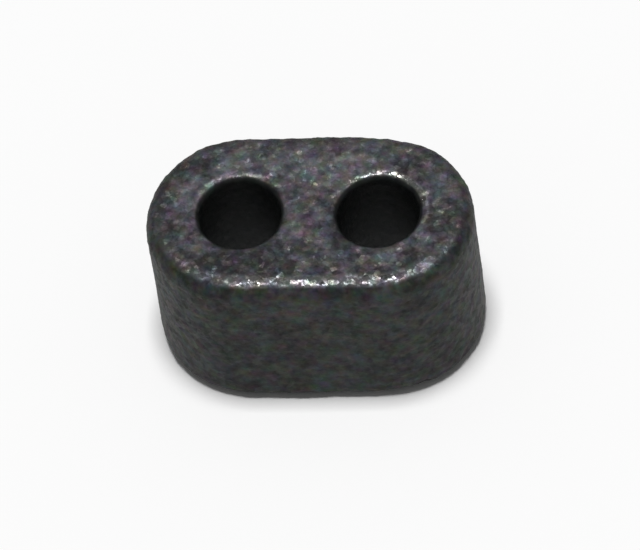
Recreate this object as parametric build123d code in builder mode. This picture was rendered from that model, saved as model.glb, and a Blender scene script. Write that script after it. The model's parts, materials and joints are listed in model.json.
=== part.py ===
"""Two-hole ferrite core, the kind wound as a small balun or wideband transformer.

The real core is pressed and fired in one piece, so it is one solid. Sizes are in millimetres. It stands on
one end face: +X runs across the two wire holes, +Y through the thin way, and +Z along the holes. The origin
is at the centre of the lower end face.
"""

import os

from build123d import *

# Driving dimensions
core_width = 7.0  # across both holes, over the round ends
core_thickness = 4.2  # the thin way, which is also the diameter of the round ends
core_height = 3.9  # from end face to end face, along the holes
hole_diameter = 1.75  # the straight wall of each wire hole
hole_spacing = 2.95  # centre to centre
rim_radius = 0.35  # tumbled edge around each end face
mouth_radius = 0.15  # tumbled edge where each hole meets an end face


with BuildPart() as ferrite_core:
    # The pressed block, with half-round ends
    with BuildSketch(Plane.XY):
        SlotOverall(core_width, core_thickness)
    extrude(amount=core_height)

    # Both end faces have rounded rims
    end_faces = ferrite_core.faces().filter_by(Axis.Z)
    fillet(end_faces.edges(), radius=rim_radius)

    # The two wire holes, straight through, and their rounded mouths
    with GridLocations(hole_spacing, 0, 2, 1):
        Hole(radius=hole_diameter / 2)
    mouths = ferrite_core.edges(Select.LAST).filter_by(GeomType.CIRCLE)
    fillet(mouths, radius=mouth_radius)

ferrite_core.part.label = "ferrite_core"

os.makedirs("parts", exist_ok=True)
export_step(ferrite_core.part, "parts/ferrite_core.step")
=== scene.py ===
"""Looks of the two-hole ferrite core: the fired block with its grain, worn rims and small pits.

The block is modelled at bench scale, where one Blender unit is one millimetre, and shrunk to metres at the
end. Its width, thickness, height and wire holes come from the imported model.
"""

import json
import math

import bpy
from mathutils import Matrix, Vector


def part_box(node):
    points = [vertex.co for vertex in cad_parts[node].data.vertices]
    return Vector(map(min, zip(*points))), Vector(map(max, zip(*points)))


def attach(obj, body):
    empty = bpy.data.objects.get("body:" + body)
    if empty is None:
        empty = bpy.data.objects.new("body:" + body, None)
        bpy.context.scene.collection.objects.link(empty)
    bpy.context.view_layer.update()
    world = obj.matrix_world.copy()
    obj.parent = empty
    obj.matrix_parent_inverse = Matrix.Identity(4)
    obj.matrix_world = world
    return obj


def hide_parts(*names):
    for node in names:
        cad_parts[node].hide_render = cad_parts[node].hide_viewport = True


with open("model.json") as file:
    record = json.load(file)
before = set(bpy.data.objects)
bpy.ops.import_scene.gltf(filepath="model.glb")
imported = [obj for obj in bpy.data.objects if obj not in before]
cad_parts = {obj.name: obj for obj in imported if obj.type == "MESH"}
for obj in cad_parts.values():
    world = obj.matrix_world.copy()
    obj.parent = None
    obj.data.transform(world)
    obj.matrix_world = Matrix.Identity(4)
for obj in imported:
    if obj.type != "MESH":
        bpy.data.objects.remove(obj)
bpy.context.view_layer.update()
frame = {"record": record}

# ---------------------------------------------------------------- sizes, in millimetres

MM = 0.001  # one millimetre in metres

core_low, core_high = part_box("ferrite_core")
width, thickness, height = (core_high - core_low) / MM
mounts = {mount["name"]: mount for mount in frame["record"]["mounts"]}
left_hole, right_hole = mounts["wire_hole_left"], mounts["wire_hole_right"]
hole_radius = left_hole["dims"]["r_mm"]
hole_spacing = (right_hole["pos_m"][0] - left_hole["pos_m"][0]) / MM
mouth_radius = (height - left_hole["dims"]["length_mm"]) / 2

rim_radius = 0.35  # tumbled edge around each end face
end_radius = thickness / 2
flat_length = width - thickness  # straight stretch of each side, between the round ends
facet = 0.0435  # edge of one mesh face


# ---------------------------------------------------------------- modelling helpers


def deselect_all():
    bpy.ops.object.select_all(action="DESELECT")


def use(piece):
    """Makes the piece the only selected one, and active."""
    deselect_all()
    piece.select_set(True)
    bpy.context.view_layer.objects.active = piece
    return piece


def apply_modifier(piece, kind, **settings):
    use(piece)
    modifier = piece.modifiers.new(kind.title(), kind)
    for name, value in settings.items():
        setattr(modifier, name, value)
    bpy.ops.object.modifier_apply(modifier=modifier.name)


def select_vertices(piece, chosen):
    """In edit mode, selects the vertices whose place the test accepts."""
    bpy.ops.mesh.select_all(action="DESELECT")
    bpy.ops.object.mode_set(mode="OBJECT")
    for vertex in piece.data.vertices:
        vertex.select = chosen(vertex.co)
    bpy.ops.object.mode_set(mode="EDIT")


# ---------------------------------------------------------------- the block


def pressed_block():
    """The block as it leaves the press: half-round ends, with both rims rounded."""
    segments = 96
    bpy.ops.mesh.primitive_cylinder_add(
        vertices=segments,
        radius=end_radius,
        depth=height,
        location=(0, 0, height / 2),
        rotation=(0, 0, math.pi / segments),
    )
    block = bpy.context.object
    block.name = "core_block"
    bpy.ops.object.transform_apply(location=True, rotation=True, scale=True)
    bpy.ops.object.mode_set(mode="EDIT")
    bpy.ops.mesh.select_mode(type="VERT")
    for side in (-1, 1):
        select_vertices(block, lambda co: co.x * side > 0)
        bpy.ops.transform.translate(value=(side * flat_length / 2, 0, 0))
    bpy.ops.mesh.select_mode(type="FACE")
    bpy.ops.mesh.select_all(action="DESELECT")
    bpy.ops.object.mode_set(mode="OBJECT")
    for face in block.data.polygons:
        face.select = abs(face.normal.z) > 0.9
    bpy.ops.object.mode_set(mode="EDIT")
    bpy.ops.mesh.bevel(offset=rim_radius, segments=8, profile=0.5, affect="EDGES")
    bpy.ops.mesh.select_all(action="SELECT")
    bpy.ops.mesh.normals_make_consistent(inside=False)
    bpy.ops.object.mode_set(mode="OBJECT")
    return block


def hole_cutter(x):
    """What the two core pins leave: a straight hole that flares into a rounded mouth at each end face."""
    steps, beyond = 6, 0.4
    flare = [
        (
            hole_radius + mouth_radius * (1 - math.cos(turn)),
            height - mouth_radius + mouth_radius * math.sin(turn),
        )
        for turn in (math.pi / 2 * i / steps for i in range(steps + 1))
    ]
    top = [(0, height + beyond), (flare[-1][0] + 0.001, height + beyond)]
    top += [(flare[-1][0] + 0.001, height)] + flare[::-1][1:]
    profile = top + [(r, height - z) for r, z in top[::-1]]
    mesh = bpy.data.meshes.new("hole_cutter")
    points = [(x + r, 0, z) for r, z in profile]
    mesh.from_pydata(points, [(i, i + 1) for i in range(len(points) - 1)], [])
    cutter = bpy.data.objects.new("hole_cutter", mesh)
    bpy.context.collection.objects.link(cutter)
    use(cutter)
    bpy.ops.object.mode_set(mode="EDIT")
    bpy.ops.mesh.select_all(action="SELECT")
    bpy.ops.mesh.spin(steps=72, angle=2 * math.pi, center=(x, 0, 0), axis=(0, 0, 1))
    bpy.ops.mesh.select_all(action="SELECT")
    bpy.ops.mesh.remove_doubles(threshold=0.0002)
    bpy.ops.mesh.normals_make_consistent(inside=False)
    bpy.ops.object.mode_set(mode="OBJECT")
    return cutter


def drilled_block():
    block = pressed_block()
    for x in (-hole_spacing / 2, hole_spacing / 2):
        cutter = hole_cutter(x)
        apply_modifier(block, "BOOLEAN", operation="DIFFERENCE", object=cutter, solver="EXACT")
        bpy.data.objects.remove(cutter)
    return block


def ferrite_surface():
    block = drilled_block()
    apply_modifier(block, "REMESH", mode="VOXEL", voxel_size=facet)
    return block


core = ferrite_surface()


# ---------------------------------------------------------------- the fired skin


def unwrap(piece):
    """Lays the smooth skin out flat, before it is roughened, so that its islands stay large."""
    use(piece)
    bpy.ops.object.mode_set(mode="EDIT")
    bpy.ops.mesh.select_all(action="SELECT")
    bpy.ops.uv.smart_project(angle_limit=math.radians(60), island_margin=0.002)
    bpy.ops.object.mode_set(mode="OBJECT")
    piece.data.uv_layers.active.name = "OFBake"


def from_wall(co):
    """Depth below the outer wall."""
    return end_radius - math.hypot(max(abs(co.x) - flat_length / 2, 0), co.y)


def from_bore(co):
    """Distance from the wall of the nearer hole."""
    return math.hypot(abs(co.x) - hole_spacing / 2, co.y) - hole_radius


def edge_share(co):
    """1 where a rim or a mouth turns, fading to 0 on the flats, the outer wall and the bores."""
    from_face = min(co.z, height - co.z)
    rim = (from_wall(co) + from_face) / rim_radius
    mouth = (from_bore(co) + from_face) / mouth_radius
    return max(0, min(1, 2.2 - 1.3 * min(rim, mouth)))


def roughen(piece, name, kind, depth, middle=0.5, group="", **settings):
    """Raises and sinks the skin by a pattern. The depth is in millimetres, from lowest to highest."""
    pattern = bpy.data.textures.new(name, kind)
    for setting, value in settings.items():
        setattr(pattern, setting, value)
    apply_modifier(
        piece,
        "DISPLACE",
        texture=pattern,
        texture_coords="LOCAL",
        strength=depth,
        mid_level=middle,
        vertex_group=group,
    )


def nudge(piece, place, push, reach):
    """Moves the skin at one place, and less and less around it."""
    place = Vector(place)
    nearest = min((vertex.co for vertex in piece.data.vertices), key=lambda co: (co - place).length_squared)
    nearest = nearest.copy()
    use(piece)
    bpy.ops.object.mode_set(mode="EDIT")
    bpy.ops.mesh.select_mode(type="VERT")
    select_vertices(piece, lambda co: co == nearest)
    bpy.ops.transform.translate(
        value=push,
        use_proportional_edit=True,
        proportional_edit_falloff="SMOOTH",
        proportional_size=reach,
    )
    bpy.ops.object.mode_set(mode="OBJECT")


unwrap(core)
edges = core.vertex_groups.new(name="edges")
for vertex in core.data.vertices:
    share = edge_share(vertex.co)
    if share > 0:
        edges.add([vertex.index], share, "REPLACE")

smooth = [(vertex.co.copy(), vertex.normal.copy()) for vertex in core.data.vertices]
front, back_side = -end_radius, end_radius

# The end faces are dished a little by firing, and the long sides swell
nudge(core, (0, 0, height), (0, 0, -0.03), 2.6)
nudge(core, (0, 0, 0), (0, 0, 0.03), 2.6)
nudge(core, (-0.7, front, 0.2), (0, -0.035, 0), 1.4)
nudge(core, (0.4, back_side, height - 0.2), (0, 0.03, 0), 1.0)
nudge(core, (-2.4, 1.75, height - 0.2), (-0.014, 0.022, 0), 0.9)

# Rubbed corners
nudge(core, (1.9, -1.97, 0.15), (-0.008, 0.038, 0.028), 0.9)
nudge(core, (1.85, 1.98, height - 0.15), (-0.008, -0.034, -0.024), 0.8)

# Small chips and pits
for place, push, reach in (
    ((-0.47, 1.22, height), (0, 0, -0.06), 0.17),
    ((-1.15, 1.7, height - 0.03), (0, -0.01, -0.04), 0.14),
    ((2.54, -0.26, height), (0, 0, -0.03), 0.10),
    ((-1.5, front, height - 0.42), (0, 0.03, 0), 0.09),
    ((2.3, -1.84, 0.22), (-0.02, 0.04, 0.02), 0.2),
    ((2.62, -1.6, 0.12), (-0.02, 0.03, 0.04), 0.16),
    ((3.1, -1.25, 0.3), (-0.02, 0.01, 0.01), 0.2),
    ((-3.05, 1.2, 0.15), (0.03, -0.02, 0.03), 0.2),
    ((0.9, back_side, 0.25), (0, -0.04, 0.01), 0.16),
    ((3.35, 0.5, height - 0.3), (-0.03, 0, -0.01), 0.13),
    ((-3.4, -0.3, 1.9), (0.03, 0, 0), 0.12),
    ((0.6, 1.5, 0), (0, 0, 0.05), 0.15),
):
    nudge(core, place, push, reach)
roughen(core, "unevenness", "CLOUDS", 0.03, noise_scale=1.5, noise_depth=1)
roughen(core, "granules", "VORONOI", -0.014, middle=0.3, noise_scale=0.17)
roughen(core, "grit", "CLOUDS", 0.010, noise_scale=0.08, noise_depth=2)
roughen(core, "worn_edges", "CLOUDS", 0.04, middle=0.55, group="edges", noise_scale=0.25, noise_depth=2)

relief = core.data.attributes.new("relief", "FLOAT", "POINT")
for vertex, (co, normal) in zip(core.data.vertices, smooth):
    relief.data[vertex.index].value = (vertex.co - co).dot(normal)
core.vertex_groups.clear()

# ---------------------------------------------------------------- finish


class Field:
    """A number that may change over a surface. Arithmetic on fields adds Math nodes."""

    def __init__(self, finish, socket):
        self.finish = finish
        self.socket = socket

    def __add__(self, other):
        return self.finish.maths("ADD", self, other)

    __radd__ = __add__

    def __sub__(self, other):
        return self.finish.maths("SUBTRACT", self, other)

    def __rsub__(self, other):
        return self.finish.maths("SUBTRACT", other, self)

    def __mul__(self, other):
        return self.finish.maths("MULTIPLY", self, other)

    __rmul__ = __mul__

    def __truediv__(self, other):
        return self.finish.maths("DIVIDE", self, other)

    def __pow__(self, other):
        return self.finish.maths("POWER", self, other)

    def __abs__(self):
        return self.finish.maths("ABSOLUTE", self)


class Finish:
    """A material, and the nodes that make it up."""

    def __init__(self, name):
        self.material = bpy.data.materials.new(name)
        self.material.use_nodes = True
        self.tree = self.material.node_tree
        self.tree.nodes.clear()

    def node(self, kind, sockets, **settings):
        """Adds a node, with its settings first and then the values or links of its sockets."""
        made = self.tree.nodes.new("ShaderNode" + kind)
        for name, value in settings.items():
            setattr(made, name, value)
        for socket, value in sockets.items():
            if isinstance(value, Field):
                self.tree.links.new(value.socket, made.inputs[socket])
            else:
                made.inputs[socket].default_value = value
        return made

    def field(self, kind, output, sockets, **settings):
        return Field(self, self.node(kind, sockets, **settings).outputs[output])

    def maths(self, operation, *values):
        return self.field("Math", 0, dict(enumerate(values)), operation=operation)

    def vector(self, operation, output, *values):
        return self.field("VectorMath", output, dict(enumerate(values)), operation=operation)

    def rise(self, value, low, high, start=0.0, end=1.0):
        """Goes smoothly from start, where the value is low, to end, where it is high."""
        sockets = {"Value": value, "From Min": low, "From Max": high, "To Min": start, "To Max": end}
        return self.field("MapRange", 0, sockets, interpolation_type="SMOOTHSTEP")

    def band(self, value, start, full, fading, gone):
        """1 from full to fading, and 0 before start and beyond gone."""
        return self.rise(value, start, full) * self.rise(value, fading, gone, 1, 0)

    def mix(self, share, a, b, blend="MIX"):
        """Colour a where share is 0 and colour b where it is 1."""
        sockets = {0: share, 6: a, 7: b}
        return self.field("Mix", 2, sockets, data_type="RGBA", blend_type=blend)

    def surface(self, **sockets):
        named = {name.replace("_", " "): value for name, value in sockets.items()}
        self.node("OutputMaterial", {"Surface": self.field("BsdfPrincipled", 0, named)})


def grey(level, warmth=0.0):
    return (level * (1 + warmth), level, level * (1 - warmth), 1)


f = Finish("fired_ferrite")
place = f.vector("MULTIPLY", 0, f.field("TexCoord", "Object", {}), (1 / MM, 1 / MM, 1 / MM))
axes = f.node("SeparateXYZ", {0: place})
x, y, z = (Field(f, axes.outputs[i]) for i in range(3))

beyond_flat = f.maths("MAXIMUM", abs(x) - flat_length / 2, 0)
wall_depth = end_radius - (beyond_flat**2 + y**2) ** 0.5
face_depth = f.maths("MINIMUM", z, height - z)
bore_gap = ((abs(x) - hole_spacing / 2) ** 2 + y**2) ** 0.5 - hole_radius

end_face = f.rise(face_depth, 0.02, 0.10, 1, 0)
rim = f.band(wall_depth / rim_radius, 0.35, 0.65, 1.0, 1.5)
mouth = f.band(bore_gap / mouth_radius, 0.3, 0.6, 1.0, 1.5)
crest = end_face * f.maths("MAXIMUM", rim, mouth)
# Painted highlight, partly real rubbing: the rim along the front and the far side of each mouth, fading
# toward the rim's ends and toward the back, and stronger at the right mouth than the left
rubbed_rim_and_highlight = rim * f.rise(y, -1.7, 0.2, 1, 0.2) * f.rise(abs(x - 0.35), 1.4, 2.5, 1, 0.35)
rubbed_mouth_and_highlight = mouth * f.rise(y, -0.2, 0.5, 0.15, 1) * f.rise(x, -1.6, 0.6, 0.45, 1.1)
rubbed_and_highlight = end_face * f.maths("MAXIMUM", rubbed_rim_and_highlight, rubbed_mouth_and_highlight)
in_bore = f.rise(bore_gap, 0.03, 0.1, 1, 0)


def cells(per_mm, output, **settings):
    return f.field("TexVoronoi", output, {"Vector": place, "Scale": per_mm}, **settings)


def noise(per_mm, detail=2.0):
    return f.field("TexNoise", 0, {"Vector": place, "Scale": per_mm, "Detail": detail})


def facets(per_mm):
    """Flat little faces, each leaning its own way: the height in millimetres for a slope of 1."""
    lean = f.vector("SUBTRACT", 0, cells(per_mm, "Color"), (0.5, 0.5, 0.5))
    offset = f.vector("SUBTRACT", 0, place, cells(per_mm, "Position"))
    return f.vector("DOT_PRODUCT", "Value", lean, offset)


crystal_parts = f.node("SeparateColor", {0: cells(9.0, "Color")})
crystal = Field(f, crystal_parts.outputs[0])
crystal_luck = Field(f, crystal_parts.outputs[2])
patch = noise(1.2, 3.0)
mottle = noise(4.5, 4.0)
hue = f.field("TexNoise", "Color", {"Vector": place, "Scale": 4.0, "Detail": 3.0})
relief_height = f.field("Attribute", "Fac", {}, attribute_name="relief")

glint = f.rise(crystal_luck, 0.90, 0.97) * end_face
# Relief peaks inside the rubbed rim and mouths: partly real rubbing, partly a painted highlight
polish_and_highlight = f.rise(relief_height + 0.02 * (mottle - 0.5), -0.035, 0.002) * rubbed_and_highlight
sheen = 0.05 + 0.45 * end_face + 0.5 * (mottle - 0.5) + 0.25 * polish_and_highlight + 0.3 * glint

speckle = 0.30 * crystal + 1.9 * (mottle - 0.42) + 1.6 * (patch - 0.45)
on_wall = f.mix(speckle, (0.017, 0.018, 0.017, 1), (0.060, 0.065, 0.062, 1))
# The end faces are painted a little lighter toward the back, as painted light, and darker around their
# margin, as painted shade; they also lighten slightly toward the right
face_speckle_and_painted_light = speckle + 0.02 * x + 0.10 * y - 0.3 * f.rise(wall_depth, 0.25, 0.8, 1, 0) + 0.05
on_face = f.mix(face_speckle_and_painted_light, (0.034, 0.034, 0.037, 1), (0.136, 0.135, 0.147, 1))
tone = f.mix(end_face, on_wall, on_face)
# Painted highlight: the colour turns light grey on the rubbed rim and mouths, and on the random glint
# crystals, which are painted glints
polished_and_highlight_tone = f.mix(0.8 * polish_and_highlight + 0.3 * glint, tone, grey(0.23))
tinted = f.mix(0.8 - 0.25 * end_face - 0.25 * polish_and_highlight, polished_and_highlight_tone, hue, blend="OVERLAY")
# Inside the holes the colour is darker near the mouths, as painted shade, and paler toward the middle, as
# painted light
bore_painted_shade_and_light = f.mix(f.rise(face_depth, 0.2, 1.9), (0.011, 0.013, 0.013, 1), (0.052, 0.058, 0.059, 1))
base = f.mix(0.8 * in_bore, tinted, bore_painted_shade_and_light)

grain = (0.30 + 0.02 * crest) * facets(8.0) + (0.13 + 0.03 * crest) * facets(17.0)
height_mm = grain + 0.0006 * noise(30.0, 2.0) + 0.014 * mottle
bumped = f.field("Bump", 0, {"Strength": 1.0, "Distance": MM, "Height": height_mm * (1 - 0.7 * in_bore)})
roughness = 0.58 - 0.12 * glint - 0.28 * polish_and_highlight + 0.1 * (patch - 0.5)
f.surface(
    Base_Color=base,
    Roughness=roughness,
    Metallic=f.maths("MINIMUM", f.maths("MAXIMUM", sheen, 0), 1),
    IOR=1.35,
    Specular_Tint=(0.35, 0.35, 0.35, 1),
    Normal=bumped,
)

core.data.materials.clear()
core.data.materials.append(f.material)
use(core)
bpy.ops.transform.resize(value=(MM, MM, MM))
bpy.ops.object.transform_apply(location=True, rotation=True, scale=True)
bpy.ops.object.shade_smooth()
core.name = "ferrite_core_surface"
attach(core, "root")
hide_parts("ferrite_core")

# ---------------------------------------------------------------- stage, camera and light


def from_bearing(azimuth, elevation):
    """Unit vector from the core towards a bearing: azimuth 0 is in front (-Y), 90 is at its right (+X)."""
    a, e = math.radians(azimuth), math.radians(elevation)
    return Vector((math.sin(a) * math.cos(e), -math.cos(a) * math.cos(e), math.sin(e)))


camera_azimuth, camera_elevation, camera_roll = 10.1, 54.1, -8.75
camera_distance, lens, sensor = 0.21, 554.0, 36.0
aim_right, aim_up = 0.064 * MM, -0.214 * MM

back = from_bearing(camera_azimuth, camera_elevation)
level_right = Vector((math.cos(math.radians(camera_azimuth)), math.sin(math.radians(camera_azimuth)), 0))
level_up = back.cross(level_right)
turn = Matrix.Rotation(math.radians(camera_roll), 3, back)
right, up = turn @ level_right, turn @ level_up
centre = Vector((0, 0, height / 2)) * MM
camera_data = bpy.data.cameras.new("camera")
camera_data.lens, camera_data.sensor_width = lens, sensor
camera_data.clip_start, camera_data.clip_end = 0.01, 10
camera = bpy.data.objects.new("camera", camera_data)
bpy.context.collection.objects.link(camera)
spot = centre + aim_right * right + aim_up * up + camera_distance * back
camera.matrix_world = Matrix.Translation(spot) @ Matrix((right, up, back)).transposed().to_4x4()
bpy.context.scene.camera = camera


def softbox(name, azimuth, elevation, distance, side, power):
    light = bpy.data.lights.new(name, "AREA")
    light.shape, light.size, light.energy = "SQUARE", side, power
    lamp = bpy.data.objects.new(name, light)
    bpy.context.collection.objects.link(lamp)
    toward = from_bearing(azimuth, elevation)
    lamp.location = centre + toward * distance
    lamp.rotation_mode = "QUATERNION"
    lamp.rotation_quaternion = toward.to_track_quat("Z", "Y")


softbox("key", 0, 90, 2.0, 0.44, 35.3)

world = bpy.data.worlds.new("studio")
bpy.context.scene.world = world
world.use_nodes = True
world.node_tree.nodes["Background"].inputs["Color"].default_value = (1, 1, 1, 1)
world.node_tree.nodes["Background"].inputs["Strength"].default_value = 0.17

bpy.ops.mesh.primitive_plane_add(size=2)
floor = bpy.context.object
floor.name = "floor"
paint = Finish("white_floor")
paint.surface(Base_Color=grey(0.93), Roughness=0.9, IOR=1.2)
floor.data.materials.append(paint.material)

scene = bpy.context.scene
scene.view_settings.view_transform = "Standard"
